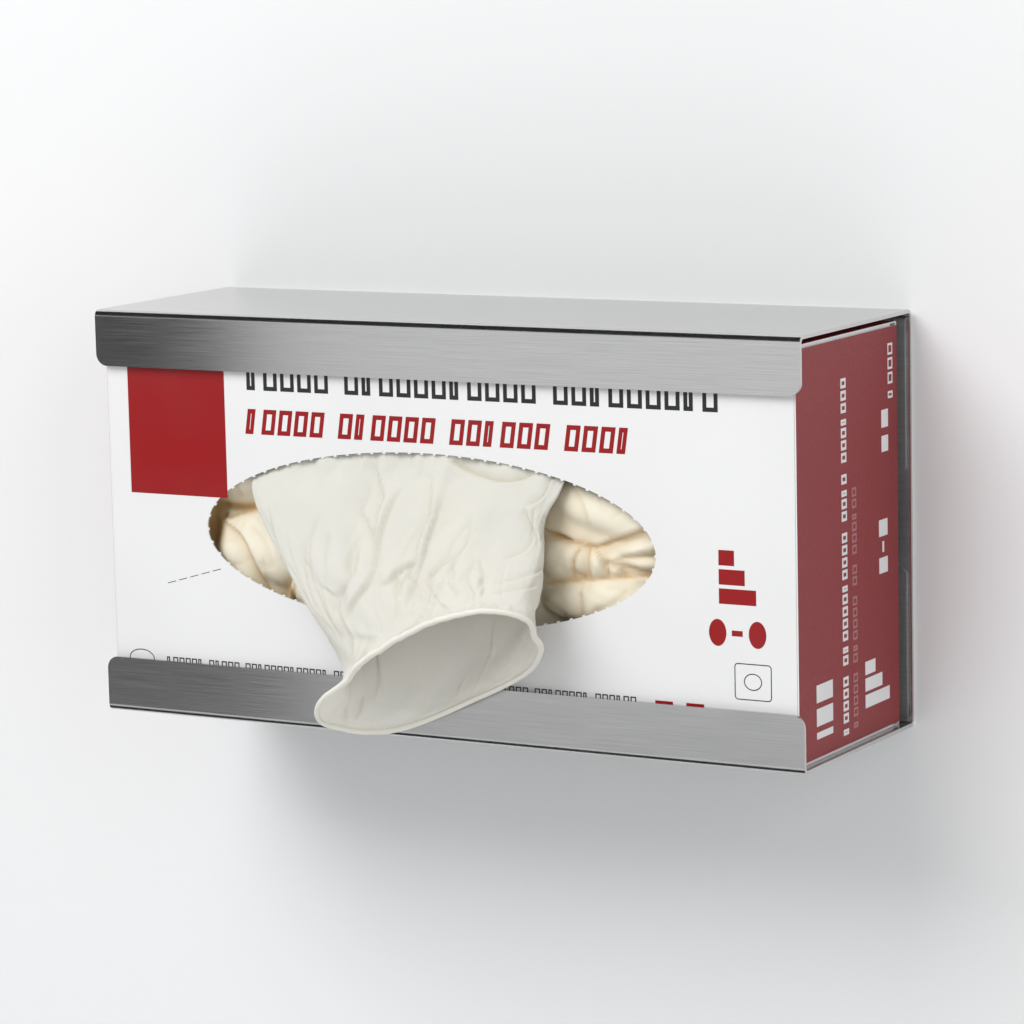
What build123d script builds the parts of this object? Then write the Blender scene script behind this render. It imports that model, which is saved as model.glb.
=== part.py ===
"""Wall holder folded from stainless sheet, with a carton of disposable gloves in it.

Frame, in millimetres: the origin is the centre of the holder's back face, +X runs to the right
along the holder, the front looks towards -Y, and +Z is up.
"""
from build123d import *

import os
from math import atan2, cos, degrees, exp, radians, sin, sqrt

# ---------------------------------------------------------------- carton, one folded card
CARTON_LENGTH = 245.0
CARTON_HEIGHT = 126.5
CARTON_DEPTH = 73.5
CARD = 0.5
CARD_FOLD = 0.8         # outer radius of the folds along the carton
CREASE_GAP = 0.1        # between a hinged panel and the panel that it folds from
GLUE_FLAP = 14.0
DUST_FLAP = 46.0
DUST_FLAP_TAPER = 8.0
DUST_FLAP_GAP = 0.3     # between a dust flap and the end panel over it
DUST_FLAP_FRONT = 1.0   # between a dust flap and the front panel
DUST_FLAP_BACK = 4.0    # between a dust flap and the back of the carton
OVAL_LENGTH = 161.0
OVAL_HEIGHT = 55.0
OVAL_X = -5.0
OVAL_DROP = 1.95        # the opening lies this far below the middle of the front panel
BRIDGES = 80            # perforation bridges round the opening
NUB_LENGTH = 0.9
NUB_HEIGHT = 0.45
THUMB_NOTCH = 33.0
THUMB_NOTCH_DEPTH = 8.0

# ---------------------------------------------------------------- end flaps, hinged on their front crease
END_PANEL_TRIM = 1.2    # the end panel is this much shorter than the carton, top and bottom
TONGUE_LENGTH = 16.0
TONGUE_TRIM = 3.0
TONGUE_CORNER = 9.0
TONGUE_CLEARANCE = 0.4  # between the swinging tongue and the carton's back panel

# ---------------------------------------------------------------- holder, one folded sheet round the carton
SHEET = 1.2
BEND_INNER = 1.0
SIDE_REACH = 2.5        # the holder reaches this far past the carton at each end
HEADROOM = 2.1          # over the carton
LIP_GAP = 0.8           # between the lips and the carton's front
BACK_GAP = 3.3          # behind the carton
LIP_HEIGHT = 18.0
LIP_CORNER = 4.0
SCREW_HOLE = 5.0
SCREW_SPACING_X = 180.0
SCREW_SPACING_Z = 60.0

# ---------------------------------------------------------------- gloves
LATEX = 0.7             # wall of an opened glove, drawn thicker than the 0.15 mm film
FLAT_GLOVE = 1.0        # a glove that lies flat: two walls and the air between them
SOFT_GAP = 0.5          # air between gloves that lie on each other
BEAD_RADIUS = 0.85
THUMB_ROOM = 26.5       # the carton is this much higher than a palm is wide
FINGER_SPACE = 2.0      # between two fingers
FINGER_LENGTHS = (62.0, 72.0, 78.0, 70.0)
THUMB_LENGTH = 58.0
THUMB_TURN = 12.0
PALM_CORNER = 6.0

CRUMPLED_BODY = 72.0
CRUMPLED_END_GAP = 7.5  # between a crumpled glove's cuff and the carton's end
CRUMPLED_FOOT = 6.3     # between the lower edge of its palm and the bottom of the carton
BULGE_DEPTH = 8.1       # room in front of the flat gloves for the bulges in the opening

FOLD_DRIFT = 34.0       # degrees that the pulled glove's folds turn on their way to the rim
SECTION_POINTS = 48
SECTIONS_PER_SPAN = 2
FLAT_SECTIONS = 1       # sections at the inner end of the pulled glove where its two walls lie together
HOOK_GAP = 5.7          # between the hooked palm and the top panel
FINGER_FOOT = 3.8       # between the hanging fingertips and the bottom panel
HOOK_TRIM = 6.0         # the hook is this much narrower than the palm, at each side
HOOK_OVERLAP = 2.0      # how far the hook reaches down over the tube

PACK_STACKS = ("front", "middle", "rear")
GLOVES_PER_STACK = 27
PACK_BACK_ROOM = 2.8    # between the last packed glove and the glue flap
PACK_AIR = 0.19         # between two packed gloves
PACK_END_GAP = 8.5
PACK_HEADROOM = 9.5
PACK_SHIFT = 3.0        # how far a packed glove may lie out of line with the next

# ---------------------------------------------------------------- places that follow from the sizes above
HOLDER_WIDTH = CARTON_LENGTH + 2 * SIDE_REACH
HOLDER_HEIGHT = CARTON_HEIGHT + HEADROOM + 2 * SHEET
HOLDER_DEPTH = CARTON_DEPTH + LIP_GAP + BACK_GAP + 2 * SHEET
FRONT_Y = -HOLDER_DEPTH + SHEET + LIP_GAP
BACK_Y = FRONT_Y + CARTON_DEPTH
FLOOR_Z = -HOLDER_HEIGHT / 2 + SHEET
CARTON_Z = FLOOR_Z + CARTON_HEIGHT / 2
ROOF_Z = FLOOR_Z + CARTON_HEIGHT
END_X = CARTON_LENGTH / 2
SLEEVE_X = END_X - CARD - CREASE_GAP
DUST_X = END_X - CARD - DUST_FLAP_GAP
OVAL_Z = CARTON_Z - OVAL_DROP
PALM_WIDTH = CARTON_HEIGHT - THUMB_ROOM
FINGER_PITCH = PALM_WIDTH / len(FINGER_LENGTHS)
FINGER_WIDTH = FINGER_PITCH - FINGER_SPACE
LEFT_GLOVE_Y = FRONT_Y + BULGE_DEPTH
RIGHT_GLOVE_Y = LEFT_GLOVE_Y + FLAT_GLOVE + SOFT_GAP
HAND_Y = RIGHT_GLOVE_Y + FLAT_GLOVE + SOFT_GAP
PACK_Y = HAND_Y + FLAT_GLOVE + SOFT_GAP
HOOK_TOP_Z = ROOF_Z - CARD - HOOK_GAP
PACKED_GLOVES = GLOVES_PER_STACK * len(PACK_STACKS)
PACK_PITCH = (BACK_Y - 2 * CARD - PACK_BACK_ROOM - PACK_Y) / (PACKED_GLOVES + 1)


def save(name, *solids):
    """Write one node, a single solid or a group of separate solids."""
    shape = solids[0] if len(solids) == 1 else Compound(children=list(solids))
    shape.label = name
    export_step(shape, f"parts/{name}.step")


def facing_front(y, x=0.0, z=0.0):
    """A plane at depth y whose X is the object's X, whose Y is up and whose normal is the front's."""
    return Plane((x, y, z), x_dir=(1, 0, 0), z_dir=(0, -1, 0))


# ---------------------------------------------------------------- holder

def folded_channel():
    """Back, top, bottom and two front lips, bent with one radius from one sheet."""
    outer = Box(HOLDER_WIDTH, HOLDER_DEPTH, HOLDER_HEIGHT)
    outer = fillet(outer.edges().filter_by(Axis.X), BEND_INNER + SHEET)
    inner = Box(HOLDER_WIDTH, HOLDER_DEPTH - 2 * SHEET, HOLDER_HEIGHT - 2 * SHEET)
    inner = fillet(inner.edges().filter_by(Axis.X), BEND_INNER)
    window = Box(HOLDER_WIDTH, HOLDER_DEPTH / 2, HOLDER_HEIGHT - 2 * LIP_HEIGHT)
    return Pos(0, -HOLDER_DEPTH / 2, 0) * (outer - inner - Pos(0, -HOLDER_DEPTH / 2, 0) * window)


def holder():
    """The channel with rounded lip corners and four screw holes in its back."""
    channel = folded_channel()
    corners = channel.edges().filter_by(Axis.Y)
    lips = [edge for edge in corners if abs(edge.center().Z) < HOLDER_HEIGHT / 2 - LIP_HEIGHT + SHEET]
    channel = fillet(lips, LIP_CORNER)
    hole = Rot(90, 0, 0) * Cylinder(SCREW_HOLE / 2, 4 * SHEET)
    for place in GridLocations(SCREW_SPACING_X, SCREW_SPACING_Z, 2, 2):
        channel -= Pos(place.position.X, 0, place.position.Y) * hole
    return channel


# ---------------------------------------------------------------- carton

def sleeve():
    """Front, top, back and bottom panels, with the glue flap inside the back."""
    outer = Box(2 * SLEEVE_X, CARTON_DEPTH, CARTON_HEIGHT)
    outer = fillet(outer.edges().filter_by(Axis.X), CARD_FOLD)
    inner = Box(CARTON_LENGTH, CARTON_DEPTH - 2 * CARD, CARTON_HEIGHT - 2 * CARD)
    inner = fillet(inner.edges().filter_by(Axis.X), CARD_FOLD - CARD)
    glue_flap = Box(2 * (SLEEVE_X - GLUE_FLAP), 2 * CARD, GLUE_FLAP)
    glue_place = Pos(0, CARTON_DEPTH / 2 - CARD, -CARTON_HEIGHT / 2 + CARD / 2 + GLUE_FLAP / 2)
    body = outer - inner + glue_place * glue_flap
    return Pos(0, FRONT_Y + CARTON_DEPTH / 2, CARTON_Z) * body


def dust_flap():
    """The top panel's right dust flap, tapered to clear its neighbours."""
    near = FRONT_Y + CARD + DUST_FLAP_FRONT
    far = BACK_Y - DUST_FLAP_BACK
    fold_z = ROOF_Z - CARD / 2
    free_z = fold_z - DUST_FLAP
    outline = Polyline(
        (near, fold_z),
        (far, fold_z),
        (far - DUST_FLAP_TAPER, free_z),
        (near + DUST_FLAP_TAPER, free_z),
        close=True,
    )
    flap = extrude(Plane.YZ * make_face(outline), CARD)
    free_corners = flap.edges().filter_by(Axis.X).sort_by(Axis.Z)[:2]
    return Pos(DUST_X - CARD, 0, 0) * fillet(free_corners, DUST_FLAP_TAPER / 2)


def torn_oval():
    """The tear-out opening: an ellipse that keeps a nub of card at each perforation bridge."""
    oval = Ellipse(OVAL_LENGTH / 2, OVAL_HEIGHT / 2)
    rim = oval.edge()
    for i in range(BRIDGES):
        along = rim % (i / BRIDGES)
        turn = degrees(atan2(along.Y, along.X))
        oval -= Pos(rim @ (i / BRIDGES)) * Rot(0, 0, turn) * Rectangle(NUB_LENGTH, 2 * NUB_HEIGHT)
    return extrude(facing_front(FRONT_Y, OVAL_X, OVAL_Z) * oval, 2 * CARD, both=True)


def carton():
    """Sleeve, four dust flaps, the torn oval in front and a thumb notch at each end of the back."""
    body = sleeve()
    upper = dust_flap()
    lower = Pos(0, 0, 2 * CARTON_Z) * mirror(upper, Plane.XY)
    for flap in (upper, lower):
        body = body + flap + mirror(flap, Plane.YZ)
    body -= torn_oval()
    notch_radius = (THUMB_NOTCH**2 / 4 + THUMB_NOTCH_DEPTH**2) / (2 * THUMB_NOTCH_DEPTH)
    notch = Rot(90, 0, 0) * Cylinder(notch_radius, 4 * CARD)
    for side in (-1, 1):
        body -= Pos(side * (SLEEVE_X - THUMB_NOTCH_DEPTH + notch_radius), BACK_Y, CARTON_Z) * notch
    return body


# ---------------------------------------------------------------- end flaps

def right_end_flap():
    """End panel that swings on the crease at the carton's front, with its slanted tuck tongue."""
    reach = CARTON_DEPTH - CARD - TONGUE_CLEARANCE
    tip_y = sqrt((reach - CARD) ** 2 - TONGUE_LENGTH**2)
    corner_y = reach - CARD / 2
    slant = degrees(atan2(corner_y - tip_y, TONGUE_LENGTH))
    corner_x = -CARD * sin(radians(slant))
    panel_height = CARTON_HEIGHT - 2 * END_PANEL_TRIM
    panel = Box(CARD, corner_y - CREASE_GAP, panel_height, align=(Align.MAX, Align.MIN, Align.CENTER))
    tongue_height = panel_height - 2 * TONGUE_TRIM
    tongue = Box(TONGUE_LENGTH, CARD, tongue_height, align=(Align.MAX, Align.MAX, Align.CENTER))
    tip_corners = tongue.edges().filter_by(Axis.Y).group_by(Axis.X)[0]
    tongue = fillet(tip_corners, TONGUE_CORNER)
    flap = Pos(0, CREASE_GAP, 0) * panel + Pos(corner_x, corner_y, 0) * Rot(0, 0, slant) * tongue
    return Pos(END_X, FRONT_Y, CARTON_Z) * flap


# ---------------------------------------------------------------- gloves lying flat

def glove_outline(body_length, thumb_side=1):
    """A flat glove seen from the back of the hand, cuff at x = 0 and fingers towards +X."""
    outline = Pos(body_length / 2, 0) * RectangleRounded(body_length, PALM_WIDTH, PALM_CORNER)
    root = body_length - FINGER_WIDTH
    for i, length in enumerate(FINGER_LENGTHS):
        across = -thumb_side * FINGER_PITCH * (i - (len(FINGER_LENGTHS) - 1) / 2)
        finger = SlotOverall(length + FINGER_WIDTH, FINGER_WIDTH)
        outline += Pos(root + (length + FINGER_WIDTH) / 2, across) * finger
    thumb = Pos(THUMB_LENGTH / 2, 0) * SlotOverall(THUMB_LENGTH, FINGER_WIDTH)
    thumb_root = Pos(max(body_length - THUMB_LENGTH, 0), -thumb_side * (PALM_WIDTH - FINGER_WIDTH) / 2)
    return outline + thumb_root * Rot(0, 0, -thumb_side * THUMB_TURN) * thumb


# Corners of a packed glove with its fingers folded in: shares of its length and height, from the cuff's foot
PACKED_CORNERS = ((0, 0), (0, 0.84), (0.68, 1), (1, 0.71), (1, 0.19), (0.83, 0))


def packed_glove(index):
    """One glove of the pack, its cuff at the left and at the right end by turns."""
    length = CARTON_LENGTH - 2 * PACK_END_GAP
    height = CARTON_HEIGHT - 2 * CARD - PACK_HEADROOM
    left = PACK_SHIFT * sin(2.4 * index) - length / 2
    corners = [(left + x * length, FLOOR_Z + CARD + z * height) for x, z in PACKED_CORNERS]
    outline = make_face(Polyline(*corners, close=True))
    sheet = extrude(facing_front(PACK_Y + (index + 1) * PACK_PITCH) * outline, PACK_PITCH - PACK_AIR)
    return sheet if index % 2 else mirror(sheet, Plane.YZ)


# ---------------------------------------------------------------- crumpled gloves in the opening

# Each bulge: its centre's x and z from the middle of the opening, half its length, half its height, its
# roll in degrees, and the depth of its crown behind the carton's front
LEFT_BULGES = (
    (-70, 16.5, 15, 7.5, 4, 1.9),
    (-59, -5, 19, 14.0, -24, 1.5),
    (-76, -6, 21, 7.5, -56, 1.7),
    (-45, -21, 11, 6.0, -16, 2.2),
)
RIGHT_BULGES = (
    (62, 12, 23, 9.5, -12, 1.6),
    (75, 2, 13, 3.4, 13, 1.7),
    (76, -3, 12, 3.0, -3, 1.9),
    (50, -3, 6.5, 7.5, 8, 2.2),
    (58, -4, 4.6, 8.0, -8, 1.8),
    (64, -5, 4.0, 6.0, -16, 2.3),
    (62, -16, 26, 8.5, 4, 1.6),
)


def bulge(base_y, x, z, half_x, half_z, roll, behind_front):
    """Half an ellipsoid that stands on the flat glove and swells towards the opening."""
    half_y = base_y - (FRONT_Y + behind_front)
    dome = Rot(0, 0, 180) * Sphere(1, arc_size3=180, align=(Align.CENTER, Align.MIN, Align.CENTER))
    return Pos(OVAL_X + x, base_y, OVAL_Z + z) * Rot(0, -roll, 0) * scale(dome, by=(half_x, half_y, half_z))


def crumpled_glove(side, depth, bulges):
    """A glove whose palm bulges in the opening, the rest of it lying flat behind the front panel."""
    flat = extrude(glove_outline(CRUMPLED_BODY, -1), FLAT_GLOVE)
    cuff_x = side * (END_X - CRUMPLED_END_GAP)
    palm_z = FLOOR_Z + CRUMPLED_FOOT + PALM_WIDTH / 2
    back = depth + FLAT_GLOVE if side < 0 else depth
    glove = Plane((cuff_x, back, palm_z), x_dir=(-side, 0, 0), z_dir=(0, side, 0)) * flat
    for place_and_size in bulges:
        glove += bulge(depth + FLAT_GLOVE / 2, *place_and_size)
    return glove


# ---------------------------------------------------------------- the glove that is half pulled out

# Long folds round the tube: angle of the ridge at the inner end, its width and its height
FOLDS = (
    (45.0, 7, 1.0),
    (67.5, 6, 1.3),
    (82.5, 6, 1.0),
    (105.0, 6, 1.4),
    (120.0, 8, 0.9),
    (150.0, 7, 1.1),
    (202.5, 9, 0.8),
    (262.5, 10, 0.9),
    (315.0, 9, 0.8),
)


# Waves of the slack rim: the angle of the crest, its width, and its height as a share of the radius
RIM_WAVES = (
    (90, 33, 0.25),
    (155, 14, -0.12),
    (20, 16, -0.08),
    (-25, 14, 0.06),
    (-60, 14, -0.05),
    (-95, 14, 0.05),
    (-135, 16, -0.04),
)


def crests(angle, waves):
    """Sum of the waves at this angle from the glove's right edge, each with its place, width and height."""
    total = 0.0
    for crest, width, height in waves:
        away = (angle - crest + 180) % 360 - 180
        total += height * exp(-((away / width) ** 2))
    return total


class Section:
    """One cross-section of the pulled glove: an ellipse in a plane of its own.

    Its fold is how deep the long folds are there, and its slack is how far it takes the rim's waves.
    """

    def __init__(self, centre, half_width, half_depth, fold, slack=0.0):
        self.centre = Vector(centre)
        self.half_width = Vector(half_width)
        self.half_depth = Vector(half_depth)
        self.fold = fold
        self.slack = slack

    def normal(self):
        return self.half_width.cross(self.half_depth).normalized()

    def point(self, angle, inset, drift):
        """A point of the section shrunk by the inset, where 0 is its right edge and 90 its front."""
        turned = radians(angle + drift)
        across = (self.half_width - self.half_width.normalized() * inset) * cos(turned)
        deep = (self.half_depth - self.half_depth.normalized() * inset) * sin(turned)
        raised = self.half_depth.normalized() * (self.fold * crests(angle, FOLDS) * sin(turned))
        swing = 1 + self.slack * crests(angle + drift, RIM_WAVES)
        return self.centre + (across + deep) * swing + raised

    def wire(self, inset, drift, shift=0.0):
        """The closed outline, its points turned by the drift so that its corners follow the folds."""
        place = Vector(OVAL_X, FRONT_Y, OVAL_Z) + self.normal() * shift
        angles = [360 * i / SECTION_POINTS for i in range(SECTION_POINTS)]
        return Wire.make_polygon([self.point(angle, inset, drift) + place for angle in angles], close=True)


# From the flat inner end to the rim of the cuff, with each centre measured from the middle of the opening
STATIONS = (
    Section((-4, 4.3, 39), (50, 0, 0), (0, -1.4, 0), 0.05),
    Section((-4.5, 4.1, 27), (53, 0, 0.5), (0, -2.0, 0), 0.2),
    Section((-4.5, 0.6, 15), (53.5, 0, 2), (0, -5.0, 0.4), 0.7),
    Section((-1, -3.6, 0), (48, 0.5, 5), (1, -8.0, 2), 1.1),
    Section((5, -10.5, -15), (41.5, 1, 8), (5, -9.5, 6.5), 1.2),
    Section((12, -15.6, -30), (34.5, 1, 10.5), (11.5, -12.3, 14.7), 0.9),
    Section((11, -18.5, -39), (39.5, 1.5, 11.6), (15.4, -13.5, 18.6), 0.25, 1.0),
)


def section_between(run):
    """The section this many stations along, on a smooth curve through the stations."""
    last = len(STATIONS) - 1
    first = min(int(run), last - 1)
    t = run - first
    weights = (
        (-t + 2 * t**2 - t**3) / 2,
        (2 - 5 * t**2 + 3 * t**3) / 2,
        (t + 4 * t**2 - 3 * t**3) / 2,
        (t**3 - t**2) / 2,
    )
    near = [STATIONS[min(max(first + i, 0), last)] for i in (-1, 0, 1, 2)]

    def mixed(part):
        return sum((getattr(section, part) * w for section, w in zip(near, weights)), Vector())

    fold = sum(section.fold * w for section, w in zip(near, weights))
    slack = sum(section.slack * w for section, w in zip(near, weights))
    return Section(mixed("centre"), mixed("half_width"), mixed("half_depth"), fold, slack)


def glove_tube(inset, first=0, overrun=0.0):
    """The pulled glove shrunk by an inset, from its first section to the rim and past it."""
    steps = (len(STATIONS) - 1) * SECTIONS_PER_SPAN
    wires = []
    for i in range(first, steps + 1):
        shift = overrun if i == steps else 0.0
        wires.append(section_between(i / SECTIONS_PER_SPAN).wire(inset, FOLD_DRIFT * i / steps, shift))
    return Solid.make_loft(wires, True)


def rim_loft(profile):
    """A ruled solid along the rim, each pair of values being its inset and its distance past the rim."""
    return Solid.make_loft([STATIONS[-1].wire(inset, FOLD_DRIFT, along) for inset, along in profile], True)


def cuff_bead():
    """The rolled bead round the rim, a ring with a rounded section."""
    r = BEAD_RADIUS
    round_outside = ((0, -2.6), (-0.55, -1.7), (-0.8, -0.9), (-0.55, -0.1), (0.1, 0.4))
    bead = rim_loft([(inset * r, along * r) for inset, along in round_outside])
    return bead - rim_loft([(0.6 * LATEX, -4 * r), (0.6 * LATEX, 2 * r)])


def hidden_hand():
    """Palm hooked over behind the front panel, with the fingers hanging down behind it."""
    start = STATIONS[0].centre + Vector(OVAL_X, FRONT_Y, OVAL_Z)
    palm = HOOK_TOP_Z - (FLOOR_Z + CARD + FINGER_FOOT) - max(FINGER_LENGTHS)
    outline = Rot(0, 0, -90) * glove_outline(palm)
    hand = extrude(facing_front(HAND_Y + FLAT_GLOVE, start.X, HOOK_TOP_Z) * outline, FLAT_GLOVE)
    width = PALM_WIDTH - 2 * HOOK_TRIM
    depth = HAND_Y + FLAT_GLOVE / 2 - (start.Y - FLAT_GLOVE)
    cover = Box(width, depth, FLAT_GLOVE, align=(Align.CENTER, Align.MIN, Align.MAX))
    height = HOOK_TOP_Z - start.Z + HOOK_OVERLAP
    front = Box(width, FLAT_GLOVE, height, align=(Align.CENTER, Align.MIN, Align.MAX))
    place = Pos(start.X, start.Y - FLAT_GLOVE / 2, HOOK_TOP_Z)
    return hand + place * cover + place * front


def pulled_glove():
    """Open cuff and creased tube outside, with the rest of the glove still inside the carton."""
    opened = glove_tube(LATEX, FLAT_SECTIONS, 2 * BEAD_RADIUS)
    return glove_tube(0.0) + hidden_hand() - opened + cuff_bead()


os.makedirs("parts", exist_ok=True)
save("holder", holder())
save("carton", carton())
save("right_end_flap", right_end_flap())
save("left_end_flap", mirror(right_end_flap(), Plane.YZ))
save("glove_next_left", crumpled_glove(-1, LEFT_GLOVE_Y, LEFT_BULGES))
save("glove_next_right", crumpled_glove(1, RIGHT_GLOVE_Y, RIGHT_BULGES))
for stack, stack_name in enumerate(PACK_STACKS):
    first_glove = stack * GLOVES_PER_STACK
    save(f"glove_pack_{stack_name}", *(packed_glove(first_glove + i) for i in range(GLOVES_PER_STACK)))
save("glove_pulled", pulled_glove())
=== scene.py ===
"""Looks of the wall-mounted glove dispenser: brushed steel, printed card and natural latex.

The frame is the CAD model's, in metres: X right, Y into the wall, Z up. Tables are in millimetres.
"""

import math

import bpy
import numpy as np
from mathutils import Matrix, Vector

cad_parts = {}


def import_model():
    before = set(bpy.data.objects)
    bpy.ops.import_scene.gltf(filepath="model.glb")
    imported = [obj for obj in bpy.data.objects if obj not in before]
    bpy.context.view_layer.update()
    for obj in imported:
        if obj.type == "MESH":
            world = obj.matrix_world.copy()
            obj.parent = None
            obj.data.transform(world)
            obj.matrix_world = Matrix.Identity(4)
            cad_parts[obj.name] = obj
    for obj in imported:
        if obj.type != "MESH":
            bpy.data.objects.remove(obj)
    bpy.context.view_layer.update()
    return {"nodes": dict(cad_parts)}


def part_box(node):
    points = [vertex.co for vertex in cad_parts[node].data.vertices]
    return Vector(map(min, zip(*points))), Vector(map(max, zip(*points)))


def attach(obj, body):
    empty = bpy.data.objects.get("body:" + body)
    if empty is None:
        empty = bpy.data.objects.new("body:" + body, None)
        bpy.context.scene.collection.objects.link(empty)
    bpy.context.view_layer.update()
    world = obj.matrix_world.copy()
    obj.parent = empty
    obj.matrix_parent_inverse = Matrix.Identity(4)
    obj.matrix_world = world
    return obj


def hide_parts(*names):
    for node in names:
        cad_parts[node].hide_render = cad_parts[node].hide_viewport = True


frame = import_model()

MM = 0.001
ROOT = "loaded_holder"
RIGHT = "right_end"
LEFT = "left_end"

CARTON_LOW, CARTON_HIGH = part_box("carton")
FRONT_Y = CARTON_LOW.y
END_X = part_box("right_end_flap")[1].x
INK = 0.04 * MM         # how far a printed field stands off its card


# -------- materials

COLOUR_A, COLOUR_B, COLOUR_OUT = 6, 7, 2       # the colour sockets of a mix node


class Nodes:
    """The node tree of a material or world. An input is a value, or the socket that it is linked to."""

    def __init__(self, owner):
        owner.use_nodes = True
        self.owner = owner
        self.tree = owner.node_tree

    def feed(self, node, inputs):
        for key, value in inputs.items():
            if isinstance(value, bpy.types.NodeSocket):
                self.tree.links.new(value, node.inputs[key])
            else:
                node.inputs[key].default_value = value

    def add(self, kind, inputs=None, **settings):
        node = self.tree.nodes.new(kind)
        for key, value in settings.items():
            setattr(node, key, value)
        self.feed(node, inputs or {})
        return node

    @property
    def shader(self):
        return self.tree.nodes["Principled BSDF"]

    def shade(self, inputs):
        self.feed(self.shader, inputs)

    def math(self, operation, first, second):
        return self.add("ShaderNodeMath", {0: first, 1: second}, operation=operation).outputs[0]

    def place(self):
        return self.add("ShaderNodeTexCoord").outputs["Object"]

    def position(self, axis):
        """One coordinate of the piece's own rest position."""
        return self.add("ShaderNodeSeparateXYZ", {0: self.place()}).outputs[axis]

    def noise(self, stretch, scale, detail, roughness):
        """A noise over the piece, stretched by a scale on each axis."""
        mapping = self.add("ShaderNodeMapping", {"Vector": self.place(), "Scale": stretch})
        inputs = {"Vector": mapping.outputs[0], "Scale": scale, "Detail": detail, "Roughness": roughness}
        return self.add("ShaderNodeTexNoise", inputs).outputs["Fac"]

    def ramp(self, value, low, high, middle=(0.3, 0.7)):
        """A value mapped from the middle of a noise to low..high."""
        inputs = {"Value": value, "From Min": middle[0], "From Max": middle[1], "To Min": low, "To Max": high}
        return self.add("ShaderNodeMapRange", inputs).outputs["Result"]

    def mix(self, factor, first, second):
        """A mix of two colours, each a tuple or a socket."""
        first, second = ((*c, 1.0) if isinstance(c, tuple) else c for c in (first, second))
        inputs = {"Factor": factor, COLOUR_A: first, COLOUR_B: second}
        return self.add("ShaderNodeMix", inputs, data_type="RGBA").outputs[COLOUR_OUT]

    def bump(self, height, distance, strength):
        node = self.add("ShaderNodeBump", {"Height": height, "Distance": distance, "Strength": strength})
        self.shade({"Normal": node.outputs["Normal"]})

    def show(self, output, factor, first, second):
        """Show the first shader where the factor is 0 and the second where it is 1."""
        mix = self.add("ShaderNodeMixShader", {0: factor, 1: first, 2: second})
        self.feed(self.tree.nodes[output], {"Surface": mix.outputs[0]})


def material_nodes(name):
    return Nodes(bpy.data.materials.new(name))


EVEN = (1, 1, 1)
BRUSHED_FINE, BRUSHED_BROAD = (10, 1100, 1100), (4, 180, 180)
FIBRE = (EVEN, 900.0, 4.0, 0.6)

RED_INK = (0.31, 0.005, 0.007)
DEEP_RED = (0.25, 0.018, 0.022)
BLACK_INK = (0.022, 0.022, 0.024)
WHITE_INK = (0.80, 0.79, 0.79)
FAINT_INK = (0.42, 0.17, 0.18)


def brushed_steel():
    """Stainless sheet, brushed along the holder's length."""
    nodes = material_nodes("brushed_steel")
    fine = nodes.noise(BRUSHED_FINE, 4.0, 5.0, 0.65)
    broad = nodes.noise(BRUSHED_BROAD, 3.0, 3.0, 0.5)
    streaks = nodes.mix(nodes.ramp(fine, 0.0, 1.0, (0.35, 0.65)), (0.55, 0.55, 0.545), (0.70, 0.70, 0.695))
    along = nodes.add("ShaderNodeCombineXYZ", {0: 1.0})
    nodes.shade({"Base Color": nodes.mix(nodes.ramp(broad, 0.0, 0.2), streaks, (0.54, 0.54, 0.54)),
                 "Roughness": nodes.ramp(fine, 0.15, 0.21), "Metallic": 1.0, "Anisotropic": 0.6,
                 "Anisotropic Rotation": 0.25, "Tangent": along.outputs[0]})
    nodes.bump(fine, 0.001 * MM, 0.12)
    return nodes.owner


def card_material(name, paint):
    """Satin card: paint(nodes, plain) gives the printed colour from the plain card's."""
    nodes = material_nodes(name)
    fibre = nodes.noise(*FIBRE)
    cloud = nodes.noise(EVEN, 14.0, 2.0, 0.5)
    plain = nodes.mix(nodes.ramp(cloud, 0.0, 1.0), (0.80, 0.80, 0.805), (0.84, 0.84, 0.84))
    nodes.shade({"Base Color": paint(nodes, plain), "Roughness": nodes.ramp(fibre, 0.42, 0.52),
                 "Specular IOR Level": 0.45})
    nodes.bump(fibre, 0.015 * MM, 0.25)
    return nodes.owner


def sleeve_paint(nodes, plain):
    """Red on the outside of the carton's top and bottom, white elsewhere."""
    height = nodes.position(2)
    top = nodes.math("GREATER_THAN", height, CARTON_HIGH.z - 0.1 * MM)
    foot = nodes.math("LESS_THAN", height, CARTON_LOW.z + 0.1 * MM)
    return nodes.mix(nodes.math("MAXIMUM", top, foot), plain, DEEP_RED)


def end_paint(side):
    """Red on the outer face of an end panel, white card on its edges and inside."""
    def paint(nodes, plain):
        beyond = "GREATER_THAN" if side > 0 else "LESS_THAN"
        outer = nodes.math(beyond, nodes.position(0), side * (END_X - 0.05 * MM))
        return nodes.mix(outer, plain, DEEP_RED)
    return paint


def ink(name, colour):
    """A printed ink with the card's faint tooth."""
    nodes = material_nodes(name)
    fibre = nodes.noise(*FIBRE)
    cloud = nodes.noise(EVEN, 30.0, 2.0, 0.5)
    worn = tuple(min(1.0, 0.93 * c + 0.012) for c in colour)
    nodes.shade({"Base Color": nodes.mix(nodes.ramp(cloud, 0.0, 1.0), colour, worn),
                 "Roughness": nodes.ramp(fibre, 0.33, 0.44), "Specular IOR Level": 0.3})
    nodes.bump(fibre, 0.012 * MM, 0.2)
    return nodes.owner


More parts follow.
